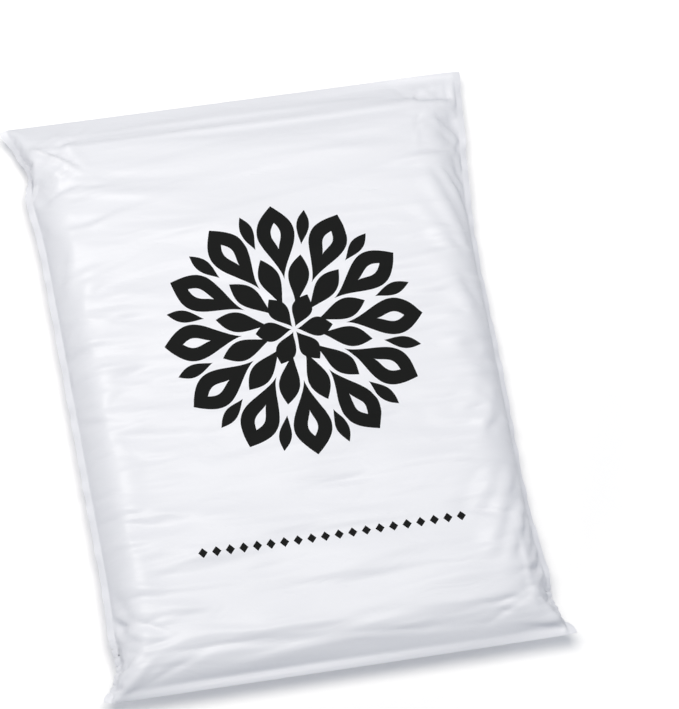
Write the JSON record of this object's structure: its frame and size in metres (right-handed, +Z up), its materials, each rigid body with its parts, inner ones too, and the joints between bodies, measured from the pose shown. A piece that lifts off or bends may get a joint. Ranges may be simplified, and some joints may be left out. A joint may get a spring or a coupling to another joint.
{
  "type": "poly mailer bag",
  "caption": "Flat rectangular mailing bag of white plastic film, filled with soft goods and sealed by a flap folded over its back.",
  "frame": {"origin": "centre of the bounding box, at its base: the plane that the bag's back rests on", "axes": "+X across the bag, +Y towards the closed mouth, +Z up out of the face that is seen"},
  "size_m": [0.254, 0.323, 0.0358],
  "materials": {
    "white_film": "smooth white blown polyethylene film, satin"
  },
  "bodies": {
    "root": {"mailer_bag": "white_film"}
  },
  "joints": []
}
